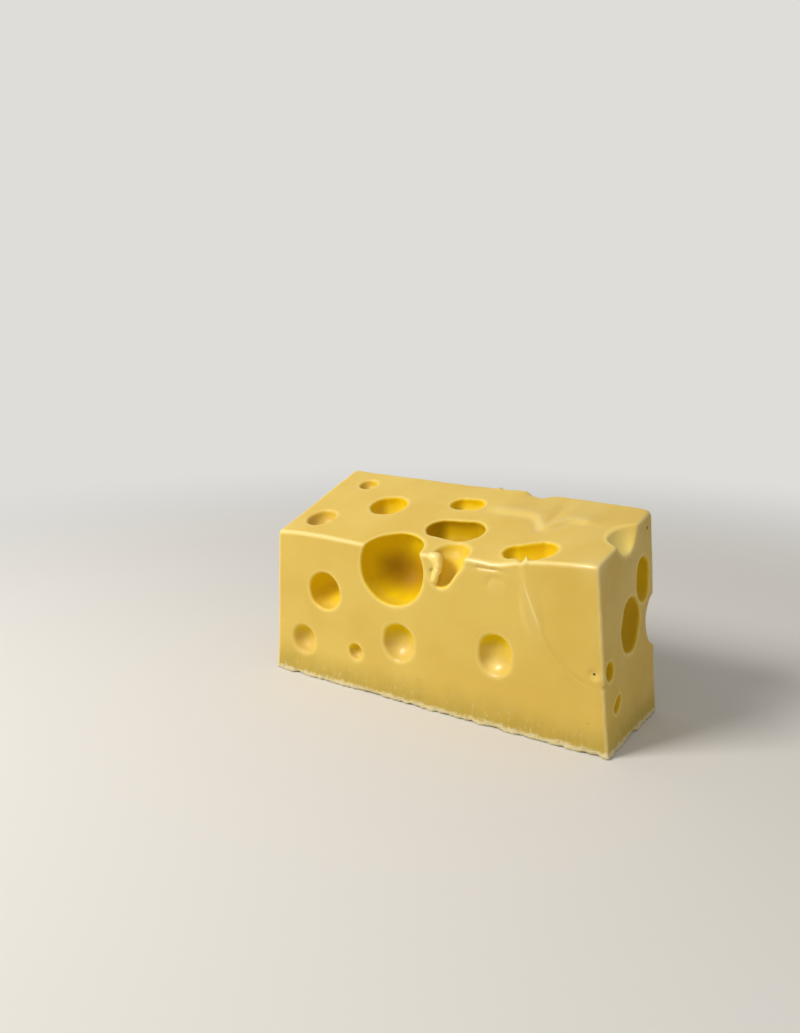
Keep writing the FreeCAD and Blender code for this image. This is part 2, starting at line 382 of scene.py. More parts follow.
def crease_relief(along, across, up):
    """A curved fold down the front: steep on its left side, with a swelling beside it."""
    above = above_crease(along, up)
    ends = step_up(along, 10, 30) * (1 - step_up(along, CREASE_END - 2, CREASE_END + 4))
    steep = step_up(along, *CREASE_STEEP)
    fold = step_up(above, -1.0, 1.0) * bump_at(np.clip(above, 0, None), 9)
    ridge = step_up(above, -1.7, 0.2) * bump_at(np.clip(above - 0.2, 0, None), 6) * steep
    swelling = bump_at(above + 6.0, 2.6) * step_up(along, 46, 54)
    raised = RIDGE_HEIGHT * ridge + SWELLING_HEIGHT * swelling
    return ends * bump_at(across, 5) * (FOLD_DEPTH * fold * (1 - steep) - raised)


crease_top = CREASE_FOOT[1] + CREASE_RISE * (CREASE_END - CREASE_FOOT[0]) ** CREASE_POWER
print("the crease ends at", round(crease_top, 1), "mm up")

# %% [markdown]
# The front also has small marks of its own: a slit under the rolled flap, a nick with a
# clean edge, a pinhole that has pulled the paste round it into a pucker, and a crack at
# the right corner. Each one gets its place first, as how far along and up it is, and
# then its shape, as a product of soft steps and bumps.

# %% Small marks of the front
# Places as along and up, depths in millimetres.
PINHOLE = (11.4, 50.0)
PUCKER_DEPTH, PUCKER_RIM = 0.8, 0.25
SLIT_START, SLIT_FALL, SLIT_DEPTH = (80.0, 101.7), 0.02, 1.05
NICK, NICK_RADIUS, NICK_DEPTH = (76.6, 91.4), 4.4, 0.8
CRACK_START, CRACK_FALL, CRACK_DEPTH = (3.5, 44.2), 0.75, 0.8
CRACK_HOLLOW, HOLLOW_DEPTH = (5.0, 43.0), 0.35


def from_place(place, along, up):
    """How far a place on the front is from another."""
    return np.hypot(along - place[0], up - place[1])


def front_marks(along, across, up):
    """The slit under the flap, the nick, the pinhole's pucker and the corner crack."""
    slit_line = SLIT_START[1] - SLIT_FALL * (along - SLIT_START[0])
    slit = bump_at(up - slit_line, 1.15) * step_up(along, 68, 78) * step_up(-along, -98, -88)
    nick_ring = from_place(NICK, along, up) - NICK_RADIUS
    nick = step_up(nick_ring, -0.6, 0.9) * bump_at(np.clip(nick_ring, 0, None), 2.5)
    nick = nick * step_up(up - 0.35 * (NICK[0] - along), 91, 94)
    pinhole = from_place(PINHOLE, along, up)
    pucker = PUCKER_DEPTH * bump_at(pinhole, 3.2) - PUCKER_RIM * bump_at(pinhole - 4.5, 2.0)
    crack_line = CRACK_START[1] - CRACK_FALL * (along - CRACK_START[0])
    crack = bump_at(up - crack_line, 0.7) * step_up(-along, -7, -4.5)
    hollow = HOLLOW_DEPTH * bump_at(from_place(CRACK_HOLLOW, along, up), 3.5)
    marks = SLIT_DEPTH * slit + NICK_DEPTH * nick + pucker + CRACK_DEPTH * crack + hollow
    return bump_at(across, 4) * marks


print("the pinhole is", round(float(from_place(PINHOLE, *CRACK_START)), 1), "mm from the crack")

# %% [markdown]
# On the top the paste stands up in a bulge that starts with a step. In one place the
# step comes forward, and there it has a dent. The back edge of the top is worn down in
# two dips beside its nick. Both are again bumps, each with a place and a width.

# %% The bulge of the top and the worn back edge
BULGE_ACROSS = 57.0              # the edge of the bulge
BULGE_ALONG = 66.0               # where it comes forward
BULGE_DIP, BULGE_WIDTH = 14.0, 8.5
STEP_HEIGHT, STEP_FOOT = 1.6, 0.4
DENT, DENT_DEPTH = (69.0, 50.0), 0.5      # along and across
BACK_WEAR = [(97, 3.2, 1.0), (86, 5, 1.1), (104, 7, -0.5)]    # along, width, depth


def behind_bulge(along, across):
    """How far behind the edge of the bulge a place is. The edge comes forward in one place."""
    dip = BULGE_DIP * bump_at(along - BULGE_ALONG, BULGE_WIDTH)
    line = BULGE_ACROSS - dip + 0.05 * (along - 60)
    slope = 2 * dip * (along - BULGE_ALONG) / BULGE_WIDTH ** 2
    return (across - line) / np.hypot(1, slope)


def top_relief(along, across, up):
    """The stepped bulge across the top, raised behind its edge, with a dent in it."""
    behind = behind_bulge(along, across)
    there = step_up(along, 32, 46) * (1 - step_up(along, 102, 118))
    on_top = step_up(up, 108, 114)
    step = step_up(behind, -2.8, 2.2) * bump_at(np.clip(behind - 1, 0, None), 13)
    foot = bump_at(behind + 3.2, 2.8)
    dent = bump_at(np.hypot(along - DENT[0], (across - DENT[1]) / 1.4), 6)
    return on_top * (there * (STEP_FOOT * foot - STEP_HEIGHT * step) + DENT_DEPTH * dent)


def back_edge_relief(along, across, up):
    """The back edge of the top: worn down in two dips beside the nick."""
    on_edge = step_up(across, 78, 90) * step_up(up, 118, 126)
    return on_edge * sum(
        depth * bump_at(along - middle, width) for middle, width, depth in BACK_WEAR)


print("the step of the bulge is up to", STEP_HEIGHT + STEP_FOOT, "mm high")

# %% [markdown]
# Round the foot, where the rind was cut on the board, crumbs have come off and gaps are
# left, but only near the sides: the middle of the underside is flat. Everywhere else
# the faces swell softly, with broad lumps, small ones and fine ones added together, and
# the eyes are a little less than round. All of that is noise.

# %% Crumbs and unevenness
RIM_HEIGHT = 3.4
CRUMB_SIZE, GAP_SIZE = 2.8, 6.5
EYE_LUMPS, EYE_UNEVEN = 9, 0.5
SWELLS = [(46, 21, 0.32), (15, 22, 0.08), (5, 23, 0.07)]      # lump size, seed, depth


def rim_relief(points, along, across, up):
    """Crumbs and gaps round the foot, where the rind was cut on the board."""
    nearest_face = np.max(knife_faces(along, across, up)[:4], axis=0)
    low_band = (1 - step_up(up, RIM_HEIGHT * 0.5, RIM_HEIGHT)) * step_up(nearest_face, -4, -1.5)
    crumbs = soft_noise(points, CRUMB_SIZE, 11) + 0.8 * soft_noise(points, GAP_SIZE, 12)
    return low_band * np.clip(0.25 + 0.75 * crumbs, -0.35, None)


def eye_unevenness(points):
    """What makes the eyes a little less than round."""
    return EYE_UNEVEN * soft_noise(points, EYE_LUMPS, 31)


def swell(points):
    """Soft unevenness of every face."""
    return sum(depth * (1 + soft_noise(points, size, seed)) for size, seed, depth in SWELLS)


print("at the middle of the block the swell would be", swell(MIDDLE).round(2)[0], "mm")

# %% [markdown]
# The whole cheese is one function now. The noise is only worked out near the surface,
# because that is the only place where a small change matters.

# %% The whole cheese as one field
NEAR = 4.0               # millimetres from the surface


def eye_distance(place):
    """Distance from the nearest eye, less than nothing inside it, and that eye's level of painted
    bounce light and shade.
    """
    nearest = np.full(len(place[0]), 1e3)
    gold = np.zeros(len(place[0]))
    for start, end, radius, soft, depth in rods:
        eye = rod(place, start, end, radius)
        gold = np.where(eye < nearest, depth, gold)
        nearest = np.minimum(nearest, eye)
    return nearest, gold


def cheese(points):
    """Distance from the finished cheese, in millimetres."""
    place = measures(points)
    field = plain_block(points)
    uneven = eye_unevenness(points)
    for start, end, radius, soft, _ in rods:
        field = soft_larger(field, -(rod(place, start, end, radius) + uneven), soft)
    field = add_smears(place, field)
    close = np.abs(field) < NEAR
    nearby = points[close]
    local = tuple(axis[close] for axis in place)
    relief = swell(nearby) * step_up(local[2], 0.5, 5) + rim_relief(nearby, *local)
    relief += crease_relief(*local) + front_marks(*local)
    relief += top_relief(*local) + back_edge_relief(*local)
    field[close] += relief
    return field


print("the middle lies", -cheese(MIDDLE).round(1)[0], "mm from the nearest wall")

# %% [markdown]
# To turn the field into a mesh, a grid is laid through it. Every grid cell that the
# surface crosses gets one corner, in the middle of the places where it crosses the
# cell's edges. Every grid edge that it crosses gets one quad. This is called a surface
# net, and it gives even, four-sided faces.

# %% Surface net
def cell_corners(values, cells):
    """For the twelve edges of each cell: whether the surface crosses it, and where."""
    units = np.eye(3, dtype=int)
    for axis in range(3):
        sides = [unit for number, unit in enumerate(units) if number != axis]
        for pick in itertools.product((0, 1), repeat=2):
            start = cells + pick[0] * sides[0] + pick[1] * sides[1]
            first = values[tuple(start.T)]
            second = values[tuple((start + units[axis]).T)]
            crossed = (first < 0) != (second < 0)
            share = np.where(crossed, first / np.where(crossed, first - second, 1), 0)
            yield crossed, start + share[:, None] * units[axis]


def net_quads(inside, number):
    """One quad round every grid edge that the surface crosses, facing outwards."""
    quads = []
    for axis in range(3):
        side, other = (axis + 1) % 3, (axis + 2) % 3
        first = np.take(inside, range(inside.shape[axis] - 1), axis)
        second = np.take(inside, range(1, inside.shape[axis]), axis)
        for solid, ring in ((first & ~second, (0, 1, 2, 3)), (second & ~first, (3, 2, 1, 0))):
            edges = np.argwhere(solid)
            corners = []
            for back_side, back_other in ((0, 0), (1, 0), (1, 1), (0, 1)):
                cell = edges.copy()
                cell[:, side] -= back_side
                cell[:, other] -= back_other
                corners.append(number[tuple(cell.T)])
            quads.append(np.stack([corners[n] for n in ring], axis=1))
    return np.concatenate(quads)


def surface_net(field, low, high, step):
    """Corners and quads of the surface where the field is nothing."""
    axes = [np.arange(a, b + step, step) for a, b in zip(low, high)]
    grid = np.stack(np.meshgrid(*axes, indexing="ij"), axis=-1)
    values = field(grid.reshape(-1, 3)).reshape(grid.shape[:3])
    inside = values < 0
    spans = [slice(None, -1), slice(1, None)]
    full = sum(inside[tuple(pick)].astype(int) for pick in itertools.product(spans, repeat=3))
    crossed = (full > 0) & (full < 8)
    number = np.full(crossed.shape, -1)
    number[crossed] = np.arange(crossed.sum())
    cells = np.argwhere(crossed)
    total = np.zeros((len(cells), 3))
    count = np.zeros(len(cells))
    for there, point in cell_corners(values, cells):
        total[there] += point[there]
        count += there
    corners = np.array(low) + total / count[:, None] * step
    return corners, net_quads(inside, number)


def ball(points):
    """Distance from a ball of 5 mm, to try the net on."""
    return np.linalg.norm(points, axis=1) - 5


print("a net over a ball has", len(surface_net(ball, [-7] * 3, [7] * 3, 1.0)[1]), "quads")

# %% [markdown]
# The raw net still shows the steps of its grid. So each corner is relaxed towards its
# neighbours, which irons the steps out, and then slid back onto the surface, so that
# nothing shrinks. The foot is kept on the table.

# %% Relax and slide
def slide_on(field, points, probe=0.2):
    """Moves points onto the surface, straight along the field's slope."""
    slope = np.stack([
        field(points + probe * unit) - field(points - probe * unit) for unit in np.eye(3)
    ], axis=1) / (2 * probe)
    steep = np.clip((slope ** 2).sum(1), 0.2, None)
    move = slope * (field(points) / steep)[:, None]
    return points - np.clip(move, -0.8, 0.8)


def relax(points, quads, share):
    """Moves each corner part of the way to the middle of its neighbours."""
    sides = [quads[:, [n, (n + 1) % 4]] for n in range(4)]
    pairs = np.concatenate(sides)
    count = np.bincount(pairs[:, 0], minlength=len(points))
    middle = np.stack([
        np.bincount(pairs[:, 0], weights=points[pairs[:, 1], axis], minlength=len(points))
        for axis in range(3)
    ], axis=1) / count[:, None]
    return points + share * (middle - points)


GRID = 1.3
margin = 3 * GRID
corners, quads = surface_net(cheese, low_corner - margin, high_corner + margin, GRID)
for _ in range(2):
    corners = relax(corners, quads, 0.5)
    corners = slide_on(cheese, corners)
corners[:, 2] = np.clip(corners[:, 2], 0, None)
print(len(corners), "corners,", 2 * len(quads), "triangles")

# %% [markdown]
# The quads become one Blender mesh. Blender works in metres, so this is where the
# millimetres end.

# %% The cheese mesh
def mesh_piece(name, points, faces):
    """A smooth-shaded mesh object from points in millimetres."""
    mesh = bpy.data.meshes.new(name)
    mesh.from_pydata((points * MM).tolist(), [], faces.tolist())
    mesh.polygons.foreach_set("use_smooth", [True] * len(faces))
    mesh.update()
    piece = bpy.data.objects.new(name, mesh)
    bpy.context.scene.collection.objects.link(piece)
    return piece


cheese_piece = mesh_piece("emmental_block", corners, quads)
print("size of the mesh:", np.ptp(corners, axis=0).round(1), "mm")

# %% [markdown]
# The material has to know things that only the shape can tell, such as where an edge is
# or which paste the blade has smeared shiny. Each is worked out for all the corners at
# once, as a number from 0 to 1. Places that are just there, such as a smear, are soft
# round spots.

# %% What the shape can tell
# Spots: along, up, width, across, reach into the block, strength.
SMEAR_SPOTS = [(78, 39.5, 6, 0, 14, 0.65), (149, 34, 7, 0, 14, 0.325), (15, 114, 9, 0, 8, 0.8),
               (76, 92, 5, 0, 5, 0.7)]
# Painted glow and painted highlight: the notch at the top of the right end, the golden eye behind
# the lip, and the bottom of the low dish.
GLOW_SPOTS = [(0, 128, 40, 45, 16, 1.4), (112, 94, 10, 0, 16, 0.75), (78.5, 39.5, 5, 0, 9, 0.8)]


def soft_spots(table, along, across, up):
    """The soft round spots of a table, added together."""
    return sum(
        strength * bump_at(from_place((a, u), along, up), width) * bump_at(across - c, reach)
        for a, u, width, c, reach, strength in table)


def smeared(along, across, up):
    """1 where the blade has smeared the paste shiny, which also gets a pale painted sheen: the
    bulge's edge, the flap, the dishes.
    """
    bulge = bump_at(behind_bulge(along, across), 4) * step_up(up, 108, 114)
    bulge = bulge * step_up(along, 34, 46) * (1 - step_up(along, 106, 118))
    flap = 0.75 * bump_at(across, 6) * bump_at(up - 103, 4.5) * bump_at(along - 82, 17)
    crease = 0.6 * bump_at(above_crease(along, up) + 3, 5) * bump_at(across, 5)
    crease = crease * step_up(along, *CREASE_STEEP)
    crease = crease * (1 - step_up(along, CREASE_END, CREASE_END + 4))
    return np.clip(bulge + flap + crease + soft_spots(SMEAR_SPOTS, along, across, up), 0, 1)


def glowing(along, across, up):
    """Painted glow: 1 in eyes with a thin wall, which light shines through, and a painted
    highlight where a dish catches the light.
    """
    return soft_spots(GLOW_SPOTS, along, across, up)


def edge_closeness(along, across, up):
    """1 on an edge between two cuts, 0 from about 3 mm away from it."""
    second_face = np.sort(np.stack(knife_faces(along, across, up)), axis=0)[-2]
    return step_up(second_face, -3.2, -0.9)


def outward(field, points, probe=0.3):
    """The direction out of the cheese at each point."""
    slope = np.stack([field(points + probe * unit) - field(points - probe * unit)
                      for unit in np.eye(3)], axis=1)
    return slope / np.linalg.norm(slope, axis=1, keepdims=True)


spots = measures(corners)
print("smeared corners:", int((smeared(*spots) > 0.5).sum()))

# %% [markdown]
# The walls of an eye send each other golden light, and that light is painted into the
# colour: most where they hang over, least where they face up, and more in a deep eye
# than in a dish. So the painted gold has a level and a turn for each depth of eye, and
# deep inside it is painted shade in brown. The rims of the eyes and the edges of the cuts
# get a pale painted highlight, and where the paste is thin the light that shines through
# is painted as a pale glow. Blender keeps one number for each corner under a name, and
# the material reads it.

# %% Store what the material needs
BOUNCE_STOPS = (0.1, 0.6, 0.9, 1.0)         # from bare paste, through dishes, to deep eyes
BOUNCE_LEVEL = (0.02, 0.35, 0.92, 1.05)
BOUNCE_TURN = (0.1, 1.2, 0.6, 0.3)
# The lip's roll gets a painted glow and a painted sheen with this share.
ROLL_SHARE = 0.8                          # how thin and how smeared the lip's roll is


def store(piece, name, values):
    """Keeps one number for each corner of the mesh."""
    kept = piece.data.attributes.new(name, "FLOAT", "POINT")
    kept.data.foreach_set("value", values.astype(np.float32))


to_eye, eye_gold = eye_distance(spots)
to_eye = to_eye + eye_unevenness(corners) - swell(corners)
off_lip = step_up(curled_lip(spots), 0.4, 1.8)
on_roll = 1 - step_up(chain(spots, LIP_ROLL[1:], ROLL_RADIUS, ROLL_SOFT), 0.2, 1.0)
in_eye = (1 - step_up(to_eye, 0.2, 1.3)) * off_lip
depth = -plain_block(corners)
facing_up = outward(cheese, corners)[:, 2]
# Painted bounce light: a level of gold for each depth of eye, less where a wall faces up; the turn
# fades out deep inside.
level = np.interp(eye_gold, BOUNCE_STOPS, BOUNCE_LEVEL)
turn = np.interp(eye_gold, BOUNCE_STOPS, BOUNCE_TURN) * (1 - step_up(depth, 8, 16))
golden = in_eye * np.clip(level - turn * facing_up, 0, 1)
on_edge = edge_closeness(*spots) * step_up(to_eye, 0.5, 2.5)
# The stored gold is painted bounce light, and the brown deep inside the eyes is painted shade.
store(cheese_piece, "gold", golden)
store(cheese_piece, "deep", in_eye * np.clip(step_up(depth, 10, 30) + eye_gold - 1, 0, 1))
# Pale rims round the eyes: painted highlight.
rim = bump_at(to_eye - 1.7, 0.9) * np.where(eye_gold > 0, np.clip(eye_gold, 0, 1), 1)
store(cheese_piece, "rim", rim)
# Painted glow where light would shine through a thin wall, and on the lip's roll.
store(cheese_piece, "thin", np.clip(glowing(*spots) * in_eye + ROLL_SHARE * on_roll, 0, 1))
store(cheese_piece, "edge", on_edge)
store(cheese_piece, "smeared", np.clip(smeared(*spots) + ROLL_SHARE * on_roll, 0, 1))
print("corners in eyes:", int((in_eye > 0.5).sum()), "on edges:", int((on_edge > 0.5).sum()))

# %% [markdown]
# Materials are written as sums. A small class wraps a socket, so that adding or
# multiplying two of them puts the Math node there, and the recipe for the cheese can be
# read from top to bottom.

# %% Writing materials as sums
class Wire:
    """One output socket. Sums and products of wires add Math nodes to the material."""

    tree = None              # the node tree that is being wired

    def __init__(self, socket):
        self.socket = socket

    @classmethod
    def node(cls, kind, settings=(), inputs=(), output=0):
        """Any node: its type, its settings, and the values or wires of its sockets."""
        made = cls.tree.nodes.new(kind)
        for name, value in dict(settings).items():
            setattr(made, name, value)
        for key, value in dict(inputs).items():
            if isinstance(value, Wire):
                cls.tree.links.new(value.socket, made.inputs[key])
            else:
                made.inputs[key].default_value = value
        return cls(made.outputs[output])

    @classmethod
    def math(cls, operation, *values):
        """A Math node on numbers and wires."""
        return cls.node("ShaderNodeMath", {"operation": operation}, enumerate(values))

    def __add__(self, other):
        return self.math("ADD", self, other)

    def __sub__(self, other):
        return self.math("SUBTRACT", self, other)

    def __rsub__(self, other):
        return self.math("SUBTRACT", other, self)

    def __mul__(self, other):
        return self.math("MULTIPLY", self, other)

    def __truediv__(self, other):
        return self.math("DIVIDE", self, other)

    def __pow__(self, other):
        return self.math("POWER", self, other)

    __radd__ = __add__
    __rmul__ = __mul__

    def clear_step(self, start, end):
        """0 before start, 1 after end."""
        ends = {"Value": self, "From Min": start, "From Max": end}
        return self.node("ShaderNodeMapRange", {"interpolation_type": "SMOOTHSTEP"}, ends)

    def tint(self, first, second):
        """The first colour where this is 0, the second where it is 1."""
        return self.node("ShaderNodeMix", {"data_type": "RGBA"}, {0: self, 6: first, 7: second}, 2)


print("besides sums, a wire has:", ", ".join(n for n in vars(Wire) if not n.startswith("_")))

# %% [markdown]
# A colour is easiest to choose as a screen shows it, but a shader reckons in linear
# light, so it is changed once, here. A material is then a small function that gives
# each socket of the Principled shader a number, a colour or a wire.

# %% Paints and materials
def to_linear(share):
    """The light behind one channel of a screen colour."""
    return share / 12.92 if share <= 0.04045 else ((share + 0.055) / 1.055) ** 2.4


def paint(red, green, blue):
    """A colour as a screen shows it, from 0 to 255, made linear for the shader."""
    return tuple(to_linear(value / 255) for value in (red, green, blue)) + (1,)


def new_material(name, surface):
    """A material whose Principled sockets take the values and wires that surface() gives."""
    material = bpy.data.materials.new(name)
    material.use_nodes = True
    Wire.tree = material.node_tree
    shader = material.node_tree.nodes["Principled BSDF"]
    for key, value in surface().items():
        if isinstance(value, Wire):
            Wire.tree.links.new(value.socket, shader.inputs[key])
        else:
            shader.inputs[key].default_value = value
    return material


print("half bright on a screen is", round(paint(128, 128, 128)[0], 2), "in linear light")

# %% [markdown]
# The paste of emmental is a warm ivory yellow, a little deeper in some places than in
# others. Inside the eyes the light bounces from wall to wall, and that is painted in as
# golden bounce light, with painted shade in brown at the bottom. Where a wall is thin,
# the light that comes through it is painted as a pale glow. Towards the rind the paste
# turns greenish and grainy, with pale specks, and the foot is pale and crumbly. The
# edges that the knife left and the ridge of the crease get a paler painted highlight.

# %% Colours of the cheese
PASTE = paint(215, 185, 88)
PASTE_DEEP = paint(209, 176, 78)
# Painted bounce light inside the eyes, and painted shade in brown deep inside them.
PAINTED_BOUNCE_GOLD = paint(231, 196, 4)
PAINTED_SHADE_BROWN = paint(172, 130, 4)
# Painted highlight on the rims of the eyes and as a sheen on smeared paste; the pale ring round
# the front pinhole takes it too.
PAINTED_RIM_HIGHLIGHT = paint(230, 206, 118)
# Painted glow where light shines through thin paste, and a painted highlight on the low dish.
PAINTED_GLOW = paint(250, 224, 126)
# Painted highlight along the cut edges and on the ridge of the crease.
PAINTED_EDGE_HIGHLIGHT = paint(232, 212, 140)
RIND = paint(170, 146, 56)
CRUMB = paint(214, 201, 158)
# Painted shade inside the pinholes, which are too small for the mesh.
PAINTED_PINHOLE_SHADE = paint(72, 40, 20)
print("paste", [round(value, 2) for value in PASTE[:3]], "in linear light")

# %% [markdown]
# A few helpers keep the recipe short: noise, the numbers stored with the mesh, a pattern
# that is squeezed so that it runs long one way, and a small round spot for a pinhole.

# %% Patterns and spots
def noise(place, scale, detail=2.0, roughness=0.5):
    """Blender's own noise, which is quick inside a material."""
    inputs = {"Vector": place, "Scale": scale, "Detail": detail, "Roughness": roughness}
    return Wire.node("ShaderNodeTexNoise", inputs=inputs)


def attribute(name):
    """A number that was stored with the mesh."""
    return Wire.node("ShaderNodeAttribute", {"attribute_name": name}, output=2)


def stretched(place, factors):
    """Coordinates squeezed along each axis, so that a pattern runs long there."""
    settings = {"operation": "MULTIPLY"}
    return Wire.node("ShaderNodeVectorMath", settings, {0: place, 1: factors})


def at(along, across, up):
    """A place given in block measures, as metres of the frame."""
    return tuple(frame_points(np.array(along), across, np.array(up)) * MM)


def spot(place, centre, radius, ignore):
    """1 at a small spot of a face, 0 outside it. The axis into the face hardly counts."""
    factors = [0.25 if axis == ignore else 1.0 for axis in "XYZ"]
    settings = {"operation": "DISTANCE"}
    centre = [value * factor for value, factor in zip(at(*centre), factors)]
    inputs = {0: stretched(place, factors), 1: centre}
    apart = Wire.node("ShaderNodeVectorMath", settings, inputs, output=1)
    return 1 - apart.clear_step(radius * 0.55, radius)


print("the pinhole is at", [round(value, 4) for value in at(PINHOLE[0], 0.0, PINHOLE[1])], "m")

# %% [markdown]
# Marks finer than the mesh are drawn in the material, with the same sums as the relief:
# the ridge and the faint line of the crease, a short scratch, and the corner crack. They
# are heights in millimetres, which the bump turns into light and shade.

# %% Fine marks
SCRATCH = (131.5, 19.7)          # along and up
SCRATCH_RISE = 0.43
CRACK_FROM = CRACK_START[1] + 0.4


def band(value, centre, width):
    """1 where the value is at the centre, 0 from a width away."""
    apart = Wire.math("ABSOLUTE", value - centre)
    return 1 - apart.clear_step(0.0, width)


def block_wires(place):
    """Along, across and up of the shaded point, in millimetres."""
    axes = [Wire.node("ShaderNodeSeparateXYZ", inputs={"Vector": place}, output=n) / MM
            for n in range(3)]
    return LENGTH / 2 - axes[0], axes[1] - FRONT_Y, axes[2]


def crease_lines(along, up):
    """1 on the crease of the front: on its fine ridge, and on the faint line below that."""
    run = Wire.math("MAXIMUM", along - CREASE_FOOT[0], 0.0)
    above = up - CREASE_FOOT[1] - CREASE_RISE * run ** CREASE_POWER
    steep = along.clear_step(44, 49) * (1 - along.clear_step(CREASE_END - 3, CREASE_END))
    low_part = along.clear_step(8, 20) * (1 - along.clear_step(44, 52))
    return band(above, -0.5, 3.4) * steep, band(above, 0.0, 2.2) * low_part


def fine_marks(along, up, ridge, line):
    """The crease, a short scratch and the corner crack, all on the front."""
    from_scratch = up - SCRATCH_RISE * (along - SCRATCH[0])
    scratch = band(from_scratch, SCRATCH[1], 0.5) * band(along, SCRATCH[0], 2.0)
    from_crack = up + CRACK_FALL * (along - CRACK_START[0])
    crack = band(from_crack, CRACK_FROM, 0.7) * (1 - along.clear_step(4.5, 6.5))
    return 0.25 * ridge - 0.28 * line + 0.35 * scratch - 0.9 * crack


print("the scratch is", SCRATCH[1], "mm up and", SCRATCH[0], "mm along")

# %% [markdown]
# All the patterns are made once and then used twice, for the colour and for the relief,
# so that a speck that is pale also stands up. The fine marks near the rind run upright,
# and its upper border wanders.

# %% Patterns of the cheese
END_PINHOLE = (11.8, 79.0, 121.5)         # along, across and up
FAINT_PINHOLE = (13.6, 0.5, 19.1)
HALO = (PINHOLE[0] - 0.5, 0.8, PINHOLE[1] - 1.5)


def rind_patterns(place, height):
    """The rind's wandering band, the crumbly foot below it, and its pale specks."""
    low = height + (noise(place, 60, 2) - 0.5) * 12
    rind = 1 - low.clear_step(2, 26)
    foot = 1 - (height + (noise(place, 380, 3, 0.6) - 0.5) * 6.0).clear_step(2.2, 4.8)
    specks = noise(stretched(place, (1, 1, 0.4)), 520, 2, 0.5).clear_step(0.63, 0.70)
    return rind, foot, specks * (1 - low.clear_step(3, 19))


def dark_pinholes(place):
    """1 in the pinholes, which are painted dark as the shade inside them: one on the front, one on
    the right end, and a faint one.
    """
    pinholes = spot(place, (PINHOLE[0], 0.8, PINHOLE[1]), 0.0010, "Y")
    pinholes = pinholes + spot(place, END_PINHOLE, 0.0014, "X")
    return pinholes + 0.6 * spot(place, FAINT_PINHOLE, 0.0005, "Y")


def cheese_patterns():
    """Every pattern of the cheese, as wires under plain names."""
    place = Wire.node("ShaderNodeTexCoord", output=3)
    along, across, height = block_wires(place)
    on_front = 1 - across.clear_step(2.0, 5.0)
    rind, foot, specks = rind_patterns(place, height)
    ridge, line = crease_lines(along, height)
    return SimpleNamespace(
        place=place,
        cloudy=noise(place, 18, 3).clear_step(0.34, 0.68),
        grain=noise(place, 900, 3, 0.6),
        streaks=noise(stretched(place, (1, 1, 0.10)), 620, 3, 0.6),
        rind=rind,
        foot=foot,
        specks=specks,
        pinholes=dark_pinholes(place),
        halo=on_front * spot(place, HALO, 0.0040, "Y"),
        ridge=ridge * on_front,
        marks=on_front * fine_marks(along, height, ridge, line),
        smear=attribute("smeared"),
    )


print("the pinhole on the end is", END_PINHOLE[2], "mm up")

# %% [markdown]
# The colour is built as a painter would: the cloudy paste first, then the rind, the
# painted bounce light and painted shade of the eyes, the painted highlights of the rims,
# edges and smears, the painted glow of thin walls, and last the crumbs and the painted
# shade of the pinholes. The relief adds up what the fingers would feel. The gloss goes
# down where the paste is grainy and up where the blade has smeared it.

# %% Colour, relief and gloss
def cheese_colour(p):
    """The paste, with its rind and crumbs and the painted light and shade laid over it, from the
    patterns p.
    """
    colour = p.cloudy.tint(PASTE, PASTE_DEEP)
    colour = (p.rind * (0.75 + 0.6 * (p.streaks - 0.5))).tint(colour, RIND)
    # Painted bounce light in gold inside the eyes, and painted shade in brown deep in them.
    colour = attribute("gold").tint(colour, attribute("deep").tint(PAINTED_BOUNCE_GOLD, PAINTED_SHADE_BROWN))
    # Painted highlight on the eye rims and as a sheen on smeared paste, and the pale ring round
    # the front pinhole.
    colour = (attribute("rim") * 0.6 + p.halo * 0.35 + p.smear * 0.3).tint(colour, PAINTED_RIM_HIGHLIGHT)
    # Painted glow where light shines through thin walls.
    colour = attribute("thin").tint(colour, PAINTED_GLOW)
    # Painted highlight along the cut edges, broken up by the grain, and on the crease's ridge.
    colour = (attribute("edge") * (0.4 + 0.8 * p.grain) + p.ridge * 0.6).tint(colour, PAINTED_EDGE_HIGHLIGHT)
    colour = (p.specks * 0.7).tint(colour, CRUMB)
    colour = (p.foot * 0.9).tint(colour, CRUMB)
    # Painted shade inside the pinholes.
    return p.pinholes.tint(colour, PAINTED_PINHOLE_SHADE)


def cheese_relief(p):
    """Height in millimetres, for the bump."""
    bumpy = p.grain * (0.12 + 0.5 * p.foot) + p.streaks * p.rind * 0.25
    bumpy = bumpy + noise(p.place, 210, 2) * 0.16 + p.smear * noise(p.place, 420, 2, 0.6) * 0.6
    return bumpy * 0.5 + p.marks + p.specks * 0.12


def cheese_roughness(p):
    """Rough where it is grainy or dry, smooth where it is smeared."""
    rough = 0.30 + 0.08 * p.cloudy + 0.10 * p.grain + 0.20 * p.rind + 0.2 * p.foot
    rough = rough + 0.16 * noise(p.place, 150, 2) + 0.12 * attribute("edge")
    return rough - 0.16 * p.smear


print("gold over paste, red green blue:", (np.array(PAINTED_BOUNCE_GOLD) / PASTE).round(2)[:3])

# %% [markdown]
# Light also travels a few millimetres into cheese. That is set on the shader itself,
# with the red going furthest. Where the blade has smeared the paste, a coat makes it
# look oily. The eyes get a second material, the same but with hardly any gloss, because
# an eye mirrors only its own walls.

